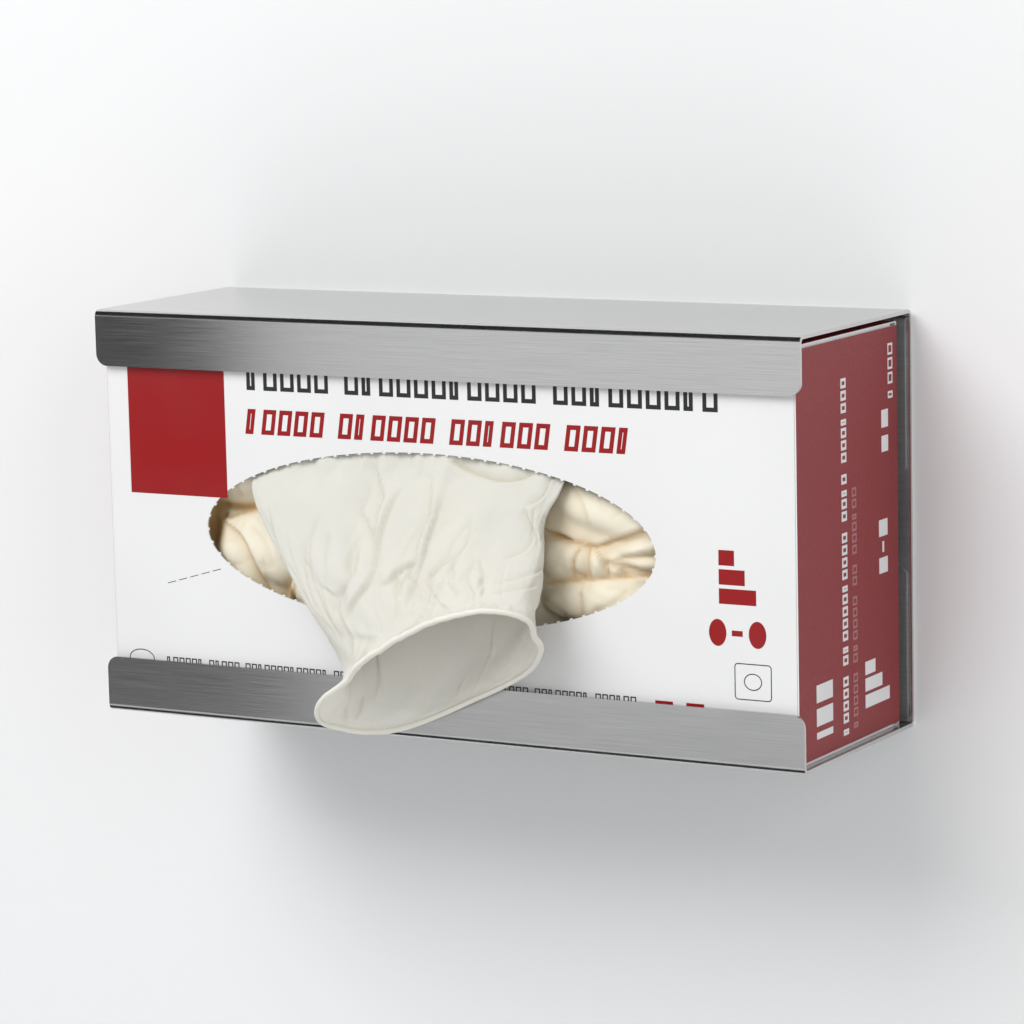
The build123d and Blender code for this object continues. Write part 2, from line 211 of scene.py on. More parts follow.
def latex(name, colour, deep, warm, scatter):
    """Natural latex: pale, matt, slightly see-through, warmer where it is doubled; the darker warm colour in
    its folds is painted shade.
    """
    nodes = material_nodes(name)
    cloud = nodes.noise(EVEN, 45.0, 3.0, 0.5)
    grain = nodes.noise(EVEN, 1400.0, 3.0, 0.6)
    crease = nodes.noise((1.0, 1.0, 0.45), 260.0, 3.0, 0.55)
    # Painted shade: this attribute mixes in the darker warm colour in folds, creases and pits; where it is
    # even, it is a plain tint.
    painted_shade_and_tint = nodes.add("ShaderNodeAttribute", attribute_name="painted_shade_and_tint").outputs["Fac"]
    plain = nodes.mix(nodes.ramp(cloud, 0.0, 1.0), colour, deep)
    nodes.shade({"Base Color": nodes.mix(painted_shade_and_tint, plain, warm), "Roughness": nodes.ramp(grain, 0.46, 0.60),
                 "Subsurface Weight": scatter, "Subsurface Radius": (1.0, 0.62, 0.35),
                 "Subsurface Scale": 0.9 * MM, "Specular IOR Level": 0.4})
    nodes.bump(nodes.math("ADD", crease, nodes.ramp(grain, 0.0, 0.12)), 0.25 * MM, 0.25)
    return nodes.owner


STEEL = brushed_steel()
CARD = card_material("white_card", sleeve_paint)
RIGHT_CARD = card_material("right_end_card", end_paint(1))
LEFT_CARD = card_material("left_end_card", end_paint(-1))
RED = ink("red_ink", RED_INK)
BLACK = ink("black_ink", BLACK_INK)
WHITE = ink("white_ink", WHITE_INK)
PINK = ink("faint_ink", FAINT_INK)
LATEX = latex("latex_single", (0.70, 0.69, 0.635), (0.72, 0.705, 0.635), (0.55, 0.48, 0.34), 0.12)
# A lighter copy of the latex, painted light: it stands for light that comes through the thin film, and is
# used inside the tube and on the bead.
LATEX_PAINTED_LIGHT = latex("latex_painted_light", (0.82, 0.81, 0.755), (0.84, 0.82, 0.755), (0.66, 0.56, 0.38), 0.12)
# The stacked gloves' latex: yellower, its own colour, and lighter as well, which is painted light for the dim
# inside of the box.
LATEX_PACK = latex("latex_pack", (0.88, 0.83, 0.68), (0.90, 0.845, 0.70), (0.58, 0.38, 0.17), 0.15)

for dressed, coat in (("holder", STEEL), ("carton", CARD), ("right_end_flap", RIGHT_CARD),
                      ("left_end_flap", LEFT_CARD)):
    coats = frame["nodes"][dressed].data.materials
    coats.clear()
    coats.append(coat)


# -------- meshes

def in_scene(name, data):
    """A new object of the scene."""
    thing = bpy.data.objects.new(name, data)
    bpy.context.scene.collection.objects.link(thing)
    return thing


def mesh_object(name, vertices, faces, material, body, smooth=True):
    """A new piece from vertices in metres, riding on a body."""
    mesh = bpy.data.meshes.new(name)
    mesh.from_pydata([tuple(v) for v in vertices], [], [tuple(f) for f in faces])
    mesh.update()
    piece = in_scene(name, mesh)
    mesh.materials.append(material)
    mesh.polygons.foreach_set("use_smooth", [smooth] * len(mesh.polygons))
    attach(piece, body)
    return piece


def grid_faces(rows, columns, closed=False):
    """Quads of a grid of rows by columns, closed round the columns if asked."""
    faces = []
    for i in range(rows - 1):
        for j in range(columns if closed else columns - 1):
            k = (j + 1) % columns
            faces.append((i * columns + j, i * columns + k, (i + 1) * columns + k, (i + 1) * columns + j))
    return faces


# -------- print: plain fields, bars and hollow boxes

def on_front(x, z):
    return (x * MM, FRONT_Y - INK, z * MM)


def on_right_end(y, z):
    return (END_X + INK, y * MM, z * MM)


def on_left_end(y, z):
    return (-END_X - INK, y * MM, z * MM)


def box_outline(low_u, high_u, low_v, high_v, lean=0.0):
    """Corners of an upright or leaning bar."""
    return [(low_u, low_v), (high_u, low_v), (high_u + lean, high_v), (low_u + lean, high_v)]


def boxes(*sides):
    return [box_outline(*box) for box in sides]


def round_outline(u, v, radius_u, radius_v, count=28):
    angles = [2 * math.pi * i / count for i in range(count)]
    return [(u + radius_u * math.cos(a), v + radius_v * math.sin(a)) for a in angles]


def printed(name, outlines, place, material, body, flip=False):
    """Flat printed fields, one polygon for each outline."""
    vertices, faces = [], []
    for outline in outlines:
        start = len(vertices)
        vertices += [place(u, v) for u, v in outline]
        face = list(range(start, len(vertices)))
        faces.append(face[::-1] if flip else face)
    mesh_object(name, vertices, faces, material, body, smooth=False)


def ring_outline(outer, inner):
    """Quads between an outer and an inner outline of the same count."""
    count = len(outer)
    return [[outer[i], outer[(i + 1) % count], inner[(i + 1) % count], inner[i]] for i in range(count)]


def round_ring(u, v, radius_u, radius_v):
    """A thin ring."""
    return ring_outline(round_outline(u, v, radius_u, radius_v),
                        round_outline(u, v, radius_u - HAIRLINE, radius_v - HAIRLINE))


HAIRLINE = 0.3
BOX_GAP = 0.2            # between two hollow boxes of a row, as a share of their pitch
GROUP_GAP = 0.75         # between two groups of them
NARROW = 0.62            # every fifth box or so is narrower


def glyph_row(start, end, low, high, words, lean=0.0, stroke=0.2):
    """A line of small hollow boxes in groups, which stands for a line of print."""
    height = high - low
    thick = stroke * height
    pitch = (end - start) / (sum(words) + GROUP_GAP * (len(words) - 1) - BOX_GAP)
    outlines, u = [], start
    for number, letters in enumerate(words):
        for letter in range(letters):
            wide = (1 - BOX_GAP) * pitch * (1.0 if (letter * 7 + number * 3) % 5 else NARROW)
            side = min(thick, 0.45 * wide)
            left, right, foot, top = u + side, u + wide - side, low + thick, high - thick
            for low_u, high_u, low_v, high_v in ((u, u + wide, low, foot), (u, u + wide, top, high),
                                                 (u, left, foot, top), (right, u + wide, foot, top)):
                shift = lean * (low_v - low) / height
                top_shift = lean * (high_v - low_v) / height
                outlines.append(box_outline(low_u + shift, high_u + shift, low_v, high_v, top_shift))
            u += pitch
        u += GROUP_GAP * pitch
    return outlines


def size_steps(u, v, width, height):
    """Three stacked bars of growing width, a plain size mark."""
    step = height / 3
    return [box_outline(u, u + width * share, v - (i + 1) * step + 0.2 * step, v - i * step)
            for i, share in enumerate((0.42, 0.7, 1.0))]


def rounded_frame(low_u, high_u, low_v, high_v, radius, count=6):
    """A thin rounded rectangle drawn as a stroke."""
    def outline(inset):
        r, points = radius - inset, []
        corners = ((high_u, high_v, 0), (low_u, high_v, 90), (low_u, low_v, 180), (high_u, low_v, 270))
        for corner_u, corner_v, turn in corners:
            centre_u = corner_u - radius if corner_u == high_u else corner_u + radius
            centre_v = corner_v - radius if corner_v == high_v else corner_v + radius
            for i in range(count + 1):
                a = math.radians(turn + 90 * i / count)
                points.append((centre_u + r * math.cos(a), centre_v + r * math.sin(a)))
        return points
    return ring_outline(outline(0.0), outline(HAIRLINE))


def dashes(start, end, count, share, thick):
    """A dashed hairline between two points."""
    (u0, v0), (u1, v1) = start, end
    length = math.hypot(u1 - u0, v1 - v0)
    across = (-(v1 - v0) / length * thick / 2, (u1 - u0) / length * thick / 2)
    outlines = []
    for i in range(count):
        ends = i / count, (i + share) / count
        (ua, va), (ub, vb) = [(u0 + (u1 - u0) * t, v0 + (v1 - v0) * t) for t in ends]
        outlines.append([(ua - across[0], va - across[1]), (ub - across[0], vb - across[1]),
                         (ub + across[0], vb + across[1]), (ua + across[0], va + across[1])])
    return outlines


def print_front():
    """The front panel's fields: a red block, rows of boxes, a size mark, a small frame and two low bars."""
    def put(part, outlines, colour):
        printed(f"print_front_{part}", outlines, on_front, colour, ROOT)

    put("block", boxes((-114.5, -77.5, 6.6, 57.0)), RED)
    put("heading", glyph_row(-69, 97, 41.6, 49.4, (5, 11, 9), stroke=0.17), BLACK)
    put("line", glyph_row(-70, 67.5, 27.6, 35.6, (5, 6, 6, 4), lean=1.2, stroke=0.18), RED)
    dots = [round_outline(u, -24.6, 2.9, 4.1) for u in (95.9, 109.1)]
    dash = boxes((100.6, 104.2, -25.4, -23.7))
    put("size", size_steps(96.5, 0.4, 12.3, 17.4) + dots[:1] + dash + dots[1:], RED)
    put("small_line", glyph_row(-103, 68, -48.8, -46.4, (6, 5, 13, 9, 4, 9, 5, 8, 6), stroke=0.17), BLACK)
    put("thin_marks", rounded_frame(101.3, 113.6, -44.5, -33.4, 1.2) + round_ring(107.4, -38.9, 3.0, 2.6)
        + round_ring(-112.7, -47.6, 4.9, 3.0) + dashes((-101.6, -22.3), (-79.8, -16.1), 5, 0.72, 0.22), BLACK)
    put("low_bars", boxes((74.5, 80.5, -48.3, -46.9), (85.0, 91.0, -48.3, -46.9)), RED)


def print_end(name, place, body, flip):
    """An end panel's fields: columns of boxes that read upwards, a size mark and a few bars."""
    def put(part, outlines, colour):
        swapped = [[(v, u) for u, v in outline] for outline in outlines]
        printed(f"print_{name}_{part}", swapped, place, colour, body, flip)

    ends = (-57.5, -55.4), (-53.6, -48.2), (-46.4, -41.0)
    put("count", boxes(*((*pair, -66, -54.5) for pair in ends)), WHITE)
    put("line", glyph_row(-60, 49, -47.0, -43.2, (5, 11, 4, 7), stroke=0.24), WHITE)
    put("faint_line", glyph_row(-59, 15, -39.6, -36.4, (5, 6, 2, 6), stroke=0.22), PINK)
    put("size", [[(-40.0 + v, u) for u, v in outline] for outline in size_steps(-31.0, 0, 18.0, 15.5)], WHITE)
    span = boxes((-14.5, -9.6, -20.0, -13.6), (-8.0, -4.6, -17.6, -16.2), (-3.0, 2.2, -20.0, -13.6))
    put("range", span, WHITE)
    put("marks", boxes((23, 28, -17.6, -12.6), (30.5, 36, -17.6, -12.6)), WHITE)
    put("figures", glyph_row(39, 56, -12.6, -9.0, (4,)), WHITE)


print_front()
print_end("right_end", on_right_end, RIGHT, False)
print_end("left_end", on_left_end, LEFT, True)


# -------- folds drawn on a sheet

def catmull(p0, p1, p2, p3, u):
    """A point between p1 and p2 on a smooth curve through four points."""
    return 0.5 * (2 * p1 + (p2 - p0) * u + (2 * p0 - 5 * p1 + 4 * p2 - p3) * u**2
                  + (3 * p1 - p0 - 3 * p2 + p3) * u**3)


def smooth_line(points, steps=5):
    """More points along a smooth curve through the given ones."""
    points = np.array(points, float)
    padded = np.vstack([2 * points[0] - points[1], points, 2 * points[-1] - points[-2]])
    curve = [catmull(*padded[i:i + 4], u) for i in range(len(points) - 1) for u in np.arange(steps) / steps]
    return np.array([*curve, points[-1]])


def from_line(places, line):
    """Each place's distance from a curve, positive on its left, and how far along it lies, 0 to 1."""
    lengths = np.linalg.norm(np.diff(line, axis=0), axis=1)
    run = np.concatenate([[0.0], np.cumsum(lengths)])
    distance = np.full(len(places), 1e9)
    along = np.zeros(len(places))
    for start, end, length, begun in zip(line[:-1], line[1:], lengths, run):
        way = (end - start) / length
        off = places - start
        u = np.clip(off @ way, 0.0, length)
        gap = off - np.outer(u, way)
        size = np.linalg.norm(gap, axis=1)
        left = way[0] * off[:, 1] - way[1] * off[:, 0]
        nearer = size < np.abs(distance)
        distance = np.where(nearer, np.copysign(size, left), distance)
        along = np.where(nearer, (begun + u) / run[-1], along)
    return distance, along


class Relief:
    """Heights in millimetres over places on a sheet, and the painted shade in its folds, creases and pits."""

    def __init__(self, places):
        self.places = places
        self.height = np.zeros(len(places))
        self.painted_shade_and_tint = np.zeros(len(places))

    def near(self, line, reach):
        low, high = line.min(axis=0) - reach, line.max(axis=0) + reach
        return np.flatnonzero(np.all((self.places > low) & (self.places < high), axis=1))

    def over(self, points, depth, sharp=0.4, reach=2.5, warm=0.6, ends=(0.25, 0.25)):
        """A fold whose left side lies on top of its right side; a negative depth swaps them."""
        line = smooth_line(points)
        chosen = self.near(line, 4 * reach)
        distance, along = from_line(self.places[chosen], line)
        distance = np.copysign(1.0, depth) * distance
        taper = self.taper(along, ends)
        top = 0.5 + 0.5 * np.tanh(distance / sharp)
        fade = np.exp(-np.abs(distance) / reach)
        self.height[chosen] += abs(depth) * taper * fade * (0.35 * top - 0.65 * (1 - top))
        # Painted shade: the lower side of the fold gets the darker warm colour just below its edge.
        shade = np.exp(-np.abs(np.minimum(distance, 0.0)) / (0.45 * reach)) * (1 - top)
        self.painted_shade_and_tint[chosen] = np.maximum(self.painted_shade_and_tint[chosen], warm * taper * shade)

    def valley(self, points, depth, reach=1.2, warm=0.4, ends=(0.3, 0.3)):
        """A sharp crease with painted shade along it; a negative depth raises a ridge, which gets none."""
        line = smooth_line(points)
        chosen = self.near(line, 5 * reach)
        distance, along = from_line(self.places[chosen], line)
        shape = self.taper(along, ends) * np.exp(-np.abs(distance) / reach)
        self.height[chosen] -= depth * shape
        if depth > 0:
            self.painted_shade_and_tint[chosen] = np.maximum(self.painted_shade_and_tint[chosen], warm * shape)

    def hollow(self, centre, radii, roll, depth, warm):
        """A rounded pit with painted shade in it, or with a negative depth a rounded swelling without it."""
        away = turned_radius(self.places, centre, radii, roll)
        shape = np.exp(-away**2)
        self.height -= depth * shape
        if depth > 0:
            self.painted_shade_and_tint = np.maximum(self.painted_shade_and_tint, warm * shape)

    @staticmethod
    def taper(along, ends):
        first, last = ends
        rise = np.clip(along / max(first, 1e-6), 0, 1) * np.clip((1 - along) / max(last, 1e-6), 0, 1)
        return rise * (2 - rise)

    def ripples(self, size, height, seed):
        """Low uneven waves of about one size."""
        rng = np.random.default_rng(seed)
        total = np.zeros(len(self.places))
        for _ in range(7):
            turn = rng.uniform(0, math.pi)
            wave = 2 * math.pi / (size * rng.uniform(0.75, 1.4))
            way = wave * np.array([math.cos(turn), math.sin(turn)])
            total += np.sin(self.places @ way + rng.uniform(0, 6.3))
        self.height += height * total / 2.6


def turned_radius(places, centre, radii, roll):
    """Distance from a centre in shares of two radii, turned by roll degrees."""
    turn = math.radians(roll)
    off = places - np.array(centre)
    first = off @ np.array([math.cos(turn), math.sin(turn)]) / radii[0]
    second = off @ np.array([-math.sin(turn), math.cos(turn)]) / radii[1]
    return np.hypot(first, second)


def add_painted_shade_and_tint(piece, values):
    """Keep the tint and the painted shade of the folds as a number on each vertex."""
    painted_shade_and_tint = piece.data.attributes.new("painted_shade_and_tint", "FLOAT", "POINT")
    painted_shade_and_tint.data.foreach_set("value", np.asarray(values, np.float32))


def latex_piece(name, points, faces, material, painted_shade_and_tint):
    """A new latex piece from points in millimetres."""
    piece = mesh_object(name, points * MM, faces, material, ROOT)
    add_painted_shade_and_tint(piece, painted_shade_and_tint)
    return piece


def shell(name, outer, inner, rows, columns, painted_shade_and_tint):
    """A film with a wall: an outer and an inner tube of points, closed at both ends."""
    count = rows * columns
    faces = grid_faces(rows, columns, closed=True)
    faces += [tuple(count + k for k in face[::-1]) for face in faces]
    for j in range(columns):
        n = (j + 1) % columns
        last = (rows - 1) * columns
        faces.append((n, j, count + j, count + n))
        faces.append((last + j, last + n, count + last + n, count + last + j))
    # Painted shade inside the tube: the inner film gets more of the darker warm colour than the outer film.
    painted_shade_and_tint = np.concatenate([painted_shade_and_tint, np.minimum(1.0, 1.3 * painted_shade_and_tint + INSIDE_PAINTED_SHADE)])
    piece = latex_piece(name, np.concatenate([outer, inner]), faces, LATEX, painted_shade_and_tint)
    # The inner film takes the lighter latex: painted light for light through the film.
    piece.data.materials.append(LATEX_PAINTED_LIGHT)
    quads = (rows - 1) * columns
    piece.data.polygons.foreach_set("material_index", [0] * quads + [1] * quads + [0] * (2 * columns))
    return piece


# -------- the glove that is half pulled out

OVAL_CENTRE = np.array([-5.0, FRONT_Y / MM, -3.0])
BEAD = 0.9               # radius of the rolled bead
FILM = 0.32              # wall of the film
# Painted shade spread over the whole inside of the tube.
INSIDE_PAINTED_SHADE = 0.05
ROWS, COLUMNS = 132, 300
CLOTH_ROWS, CLOTH_COLUMNS = 66, 132

# The solid's own sections, from the middle of the opening: centre, half width, half depth, fold, slack rim
STATIONS = np.array((
    (-4, 4.3, 39, 50, 0, 0, 0, -1.4, 0, 0.05, 0),
    (-4.5, 4.1, 27, 53, 0, 0.5, 0, -2.0, 0, 0.2, 0),
    (-4.5, 0.6, 15, 53.5, 0, 2, 0, -5.0, 0.4, 0.7, 0),
    (-1, -3.6, 0, 48, 0.5, 5, 1, -8.0, 2, 1.1, 0),
    (5, -10.5, -15, 41.5, 1, 8, 5, -9.5, 6.5, 1.2, 0),
    (12, -15.6, -30, 34.5, 1, 10.5, 11.5, -12.3, 14.7, 0.9, 0),
    (11, -18.5, -39, 39.5, 1.5, 11.6, 15.4, -13.5, 18.6, 0.25, 1.0),
))
# Long folds and the slack rim's waves: the angle of a crest, its width and its height
FOLDS = ((45, 7, 1.0), (67.5, 6, 1.3), (82.5, 6, 1.0), (105, 6, 1.4), (120, 8, 0.9), (150, 7, 1.1),
         (202.5, 9, 0.8), (262.5, 10, 0.9), (315, 9, 0.8))
RIM_WAVES = ((90, 33, 0.25), (155, 14, -0.12), (20, 16, -0.08), (-25, 14, 0.06), (-60, 14, -0.05),
             (-95, 14, 0.05), (-135, 16, -0.04))
# Where an edge of the tube is drawn in or out: its angle, its place, its reach before and after, millimetres
EDGE_SHIFTS = ((180, 0.33, 0.10, 0.2, -5.5), (180, 0.76, 0.14, 0.1, 3.5), (0, 0.43, 0.12, 0.13, -4.5))
EDGE_WIDTH = 34
FOLD_DRIFT = 34.0        # degrees that a long fold turns from the inner end to the rim
MM_PER_DEGREE = 0.65     # size of the tube's own plane, in which its creases are drawn
MM_PER_LENGTH = 84.0

# Creases towards the rim as (share of the length, angle): the left side of a positive one is on top
LONG_CREASES = (
    (0.75, ((0.194, 104.5), (0.242, 102.5), (0.341, 98), (0.39, 99.5), (0.486, 102.5), (0.527, 103.5))),
    (0.55, ((0.244, 103), (0.34, 104.5), (0.39, 107), (0.433, 105), (0.525, 104), (0.643, 115))),
    (-0.8, ((0.294, 91.5), (0.412, 97.5), (0.525, 103.5), (0.578, 108), (0.634, 115.5), (0.684, 128),
            (0.726, 143))),
    (0.7, ((0.482, 109.5), (0.56, 115), (0.614, 121.5), (0.679, 137), (0.722, 148.5))),
    (-0.6, ((0.567, 87.5), (0.603, 98), (0.648, 107), (0.641, 110))),
    (0.5, ((0.599, 89), (0.643, 96.5), (0.731, 110))),
    (0.7, ((0.242, 80.5), (0.373, 78.5), (0.438, 80.5), (0.517, 84.5), (0.59, 88), (0.632, 94.5),
           (0.675, 99.5))),
    (-0.6, ((0.323, 76), (0.39, 77), (0.487, 80.5), (0.564, 84.5), (0.657, 93), (0.762, 109))),
    (0.6, ((0.399, 61.5), (0.469, 62), (0.527, 64), (0.565, 68.5), (0.605, 77.5), (0.654, 84), (0.722, 88.5),
           (0.803, 101))),
    (-0.5, ((0.625, 5), (0.724, -4.5), (0.823, 15))),
    (0.45, ((0.628, -3), (0.682, 31), (0.718, 55.5))),
    (0.4, ((0.70, 8), (0.745, 34), (0.77, 58))),
    (0.4, ((0.50, 18), (0.56, 30), (0.60, 46))),
)
# The collar at the top right, the twisted edge under it, and the elbow at the left: then depth, sharpness,
# reach, painted shade and ends
FORMED_CREASES = (
    (((0.187, 75), (0.237, 65), (0.267, 54), (0.267, 45.5), (0.251, 40), (0.235, 35)),
     -1.5, 0.3, 2.6, 0.9, (0.05, 0.2)),
    (((0.25, 20), (0.264, 22.5), (0.329, 23), (0.366, 29.5), (0.377, 35)), 1.3, 0.3, 2.2, 0.7, (0.05, 0.2)),
    (((0.377, 36), (0.395, 33.5), (0.448, 25.5), (0.502, 15.5), (0.534, 11.5)),
     1.4, 0.3, 2.6, 0.7, (0.2, 0.2)),
    (((0.605, 144), (0.65, 137), (0.632, 129), (0.60, 125)), 1.1, 0.35, 2.0, 0.2),
)
SWELLING = (0.585, 130)
# Fine creases drawn at random: from and to which angle, how many, where along the length, degrees a length
STREAKS = ((55, 165, 72, (0.38, 0.86), (70, 135)), (-80, 45, 24, (0.25, 0.88), (-60, 120)),
           (190, 268, 18, (0.25, 0.88), (-60, 120)))
CRINKLES = 16            # short ones above the rim


def tube_plane(points):
    """Places on the tube's own plane from (share of the length, angle)."""
    return [(angle * MM_PER_DEGREE, t * MM_PER_LENGTH) for t, angle in points]


def crests(angles, waves):
    """Height of a row of crests at these angles in degrees."""
    total = np.zeros_like(angles)
    for centre, width, height in waves:
        away = (angles - centre + 180) % 360 - 180
        total += height * np.exp(-((away / width) ** 2))
    return total


def tube_section(t, angles):
    """Points round the tube at t, from 0 at its inner end to 1 at the rim, for angles in radians."""
    last = len(STATIONS) - 1
    place = min(t * last, last - 1e-6)
    i = int(place)
    around = [STATIONS[min(max(i + k, 0), last)] for k in (-1, 0, 1, 2)]
    values = catmull(*around, place - i)
    centre, wide, deep, fold, slack = values[:3], values[3:6], values[6:9], values[9], values[10]
    turned = np.degrees(angles)
    flat = np.outer(np.cos(angles), wide) + np.outer(np.sin(angles), deep)
    flat *= (1 + slack * crests(turned, RIM_WAVES))[:, None]
    raised = fold * crests(turned - FOLD_DRIFT * t, FOLDS) * np.sin(angles)
    sideways = sum(shift * math.exp(-((t - at) / (before if t < at else after)) ** 2)
                   * crests(turned, ((side, EDGE_WIDTH, 1.0),))
                   for side, at, before, after, shift in EDGE_SHIFTS)
    flat += np.outer(sideways, (1.0, 0.0, 0.0))
    return OVAL_CENTRE + centre + flat + np.outer(raised, deep / np.linalg.norm(deep))


def tube_relief(ts, angles):
    """Creases of the pulled glove: the drawn ones, and finer ones that fall towards the rim."""
    turned = np.degrees(angles)
    turned = np.where(turned > 270, turned - 360, turned)
    places = np.array([(a * MM_PER_DEGREE, t * MM_PER_LENGTH) for t in ts for a in turned])
    relief = Relief(places)
    for depth, points in LONG_CREASES:
        relief.over(tube_plane(points), 2.8 * depth, 0.25, 2.0, 0.4)
    for points, *form in FORMED_CREASES:
        relief.over(tube_plane(points), *form)
    relief.hollow(tube_plane([SWELLING])[0], (6.5, 4.5), 20, -1.0, 0.0)
    rng = np.random.default_rng(11)
    for low, high, count, places_along, slopes in STREAKS:
        for _ in range(count):
            t = rng.uniform(*places_along)
            angle = rng.uniform(low, high)
            length = rng.uniform(0.07, 0.2)
            slope = rng.uniform(*slopes)
            middle = (t + length / 2, angle + slope * length / 2 + rng.uniform(-2, 2))
            points = tube_plane(((t, angle), middle, (min(t + length, 0.97), angle + slope * length)))
            depth = rng.uniform(0.3, 1.0)
            if rng.random() < 0.6:
                relief.over(points, depth * rng.choice((-1, 1)), 0.3, rng.uniform(0.9, 1.8), 0.2)
            else:
                relief.valley(points, depth, rng.uniform(0.5, 1.0), 0.2)
    for _ in range(CRINKLES):
        t, angle, length = rng.uniform(0.56, 0.72), rng.uniform(58, 104), rng.uniform(0.06, 0.14)
        middle = (t + length / 2, angle + rng.uniform(-2, 3))
        points = tube_plane(((t, angle), middle, (t + length, angle + rng.uniform(0, 7))))
        relief.over(points, rng.uniform(0.6, 1.3) * rng.choice((-1, 1)), 0.25, 1.2, 0.25)
    relief.ripples(17.0, 0.16, 5)
    relief.ripples(5.0, 0.035, 6)
    fade = np.repeat(np.clip((1 - ts) / 0.05, 0, 1), len(angles))
    return relief.height * fade, relief.painted_shade_and_tint * fade


GROWTH, CLOTH_FRAMES, CLOTH_CAP, CLOTH_SCALE = 0.03, 24, 1.2, 0.01
CLOTH = {"quality": 6, "mass": 0.3, "air_damping": 3.0, "tension_stiffness": 18.0,
         "compression_stiffness": 18.0, "shear_stiffness": 7.0, "bending_stiffness": 0.25,
         "shrink_min": -GROWTH, "vertex_group_mass": "pinned"}


def settle(rows, columns, points):
    """How far cloth with more stuff than its form has room for moves as it buckles, in millimetres."""
    faces = grid_faces(rows, columns, closed=True)
    piece = mesh_object("settling", points * CLOTH_SCALE, faces, LATEX, ROOT)
    group = piece.vertex_groups.new(name="pinned")
    for i in range(rows):
        weight = max(0.0, 1.0 - i / 10, 1.0 - (rows - 1 - i) / 3)
        if weight > 0:
            group.add(list(range(i * columns, (i + 1) * columns)), weight, "REPLACE")
    cloth = piece.modifiers.new("cloth", "CLOTH")
    for key, value in CLOTH.items():
        setattr(cloth.settings, key, value)
    cloth.settings.effector_weights.gravity = 0.15
    cloth.collision_settings.use_collision = False
    cloth.point_cache.frame_start = 1
    cloth.point_cache.frame_end = CLOTH_FRAMES
    for number in range(1, CLOTH_FRAMES + 1):
        bpy.context.scene.frame_set(number)
    graph = bpy.context.evaluated_depsgraph_get()
    moved = np.array([v.co for v in piece.evaluated_get(graph).data.vertices]) / CLOTH_SCALE
    bpy.data.objects.remove(piece)
    bpy.context.scene.frame_set(1)
    shift = moved - points
    length = np.linalg.norm(shift, axis=1, keepdims=True)
    shift *= np.minimum(1.0, CLOTH_CAP / np.maximum(length, 1e-9))
    return shift.reshape(rows, columns, 3)


def finer(grid, rows, columns):
    """A coarse grid of shifts, closed round its columns, read at more rows and columns."""
    coarse_rows, coarse_columns = grid.shape[:2]
    i = np.linspace(0, coarse_rows - 1, rows)
    j = np.arange(columns) * coarse_columns / columns
    i0, j0 = np.minimum(i.astype(int), coarse_rows - 2), j.astype(int)
    u, v = (i - i0)[:, None, None], (j - j0)[None, :, None]
    j1 = (j0 + 1) % coarse_columns
    upper = grid[i0][:, j0] * (1 - v) + grid[i0][:, j1] * v
    lower = grid[i0 + 1][:, j0] * (1 - v) + grid[i0 + 1][:, j1] * v
    return upper * (1 - u) + lower * u


def tube_points(rows, columns):
    """Shares of the length, angles and points of the tube."""
    angles = np.linspace(0, 2 * np.pi, columns, endpoint=False)
    ts = np.linspace(0, 1, rows)
    return ts, angles, np.concatenate([tube_section(t, angles) for t in ts])


def outward(points, rows, columns):
    """Outward normals of a tube of points."""
    grid = points.reshape(rows, columns, 3)
    round_it = np.roll(grid, -1, axis=1) - np.roll(grid, 1, axis=1)
    along = np.gradient(grid, axis=0)
    normals = np.cross(round_it, along).reshape(-1, 3)
    normals /= np.linalg.norm(normals, axis=1, keepdims=True)
    middle = grid.mean(axis=1, keepdims=True)
    if np.sum(normals.reshape(grid.shape) * (grid - middle)) < 0:
        normals = -normals
    return normals


def pulled_glove():
    """Cuff and creased tube, open at the rim, with its rolled bead."""
    ts, angles, points = tube_points(ROWS, COLUMNS)
    coarse = tube_points(CLOTH_ROWS, CLOTH_COLUMNS)[2]
    moved = finer(settle(CLOTH_ROWS, CLOTH_COLUMNS, coarse), ROWS, COLUMNS)
    upper = 0.2 + 0.8 * np.clip(np.sin(angles), 0, 1)
    points = points + (moved * upper[:, None]).reshape(-1, 3)
    height, painted_shade_and_tint = tube_relief(ts, angles)
    points = points + outward(points, ROWS, COLUMNS) * height[:, None]
    half_wall = outward(points, ROWS, COLUMNS) * FILM / 2
    piece = shell("glove_pulled_skin", points + half_wall, points - half_wall, ROWS, COLUMNS, painted_shade_and_tint)
    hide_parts("glove_pulled")
    cuff_bead(points.reshape(ROWS, COLUMNS, 3))


def cuff_bead(grid):
    """The rolled bead round the rim of a tube's grid of points."""
    rim, before = grid[-1], grid[-4]
    columns, around = len(rim), 12
    turns = 2 * np.pi * np.arange(around) / around
    vertices = []
    for j in range(columns):
        along = rim[(j + 1) % columns] - rim[j - 1]
        along /= np.linalg.norm(along)
        down = rim[j] - before[j]
        down -= along * np.dot(down, along)
        down /= np.linalg.norm(down)
        out = np.cross(along, down)
        radius = BEAD * (1.0 + 0.08 * math.sin(6 * math.pi * j / columns + 1))
        ring = rim[j] - down * 0.3 + radius * (np.outer(np.cos(turns), out) + np.outer(np.sin(turns), down))
        vertices.append(ring)
    faces = [tuple(reversed(face)) for face in grid_faces(columns, around, closed=True)]
    last = (columns - 1) * around
    for k in range(around):
        m = (k + 1) % around
        faces.append((k, m, last + m, last + k))
    # The bead takes the lighter latex: a painted light rim on it.
    painted_shade_and_tint = np.full(columns * around, 0.1)
    latex_piece("glove_pulled_bead", np.concatenate(vertices), faces, LATEX_PAINTED_LIGHT, painted_shade_and_tint)


# -------- gloves that lie flat behind the front panel

